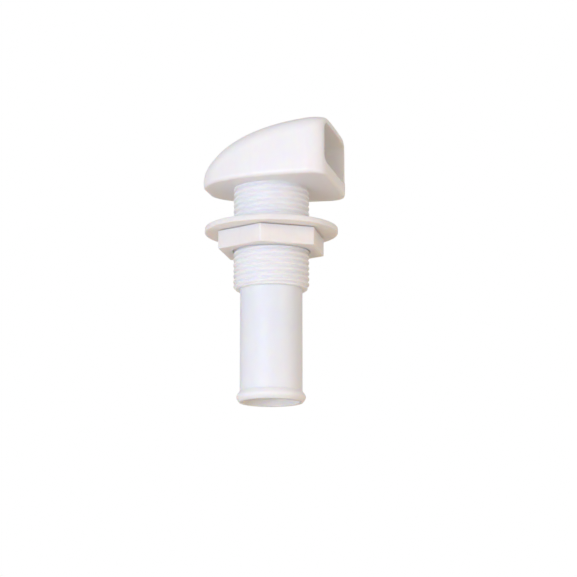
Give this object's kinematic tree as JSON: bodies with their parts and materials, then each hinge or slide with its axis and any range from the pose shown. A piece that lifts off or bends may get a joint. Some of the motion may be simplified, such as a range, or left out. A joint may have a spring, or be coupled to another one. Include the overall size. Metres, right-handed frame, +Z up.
{
  "type": "thru hull fitting",
  "caption": "White plastic thru-hull vent fitting: a hooded head with a side mouth, a threaded shank with backing washer and hex nut, and a beaded hose tail.",
  "frame": {"origin": "on the shank's axis, in the plane of the head's flat underside that seats on the hull", "axes": "+Z up along the shank's axis through the head, +X out of the hood's mouth"},
  "size_m": [0.0614, 0.0614, 0.1274],
  "materials": {
    "fitting_nylon": "satin moulded",
    "washer_nylon": "satin moulded",
    "nut_nylon": "satin moulded"
  },
  "bodies": {
    "fitting": {"hull_fitting": "fitting_nylon"},
    "washer": {"backing_washer": "washer_nylon"},
    "nut": {"hex_nut": "nut_nylon"}
  },
  "joints": [
    {"name": "washer_slide", "type": "slide", "parent": "fitting", "child": "washer", "axis": [0, 0, 1], "range_m": [-0.0177, 0.0182]},
    {"name": "nut_turn", "type": "hinge", "parent": "washer", "child": "nut", "pos_m": [0, 0, -0.0255], "axis": [0, 0, 1], "range_deg": [-2490, 2560]}
  ],
  "couplings": [
    {"joint": "washer_slide", "follows": "nut_turn", "m_per_rad": 0.00040425}
  ]
}
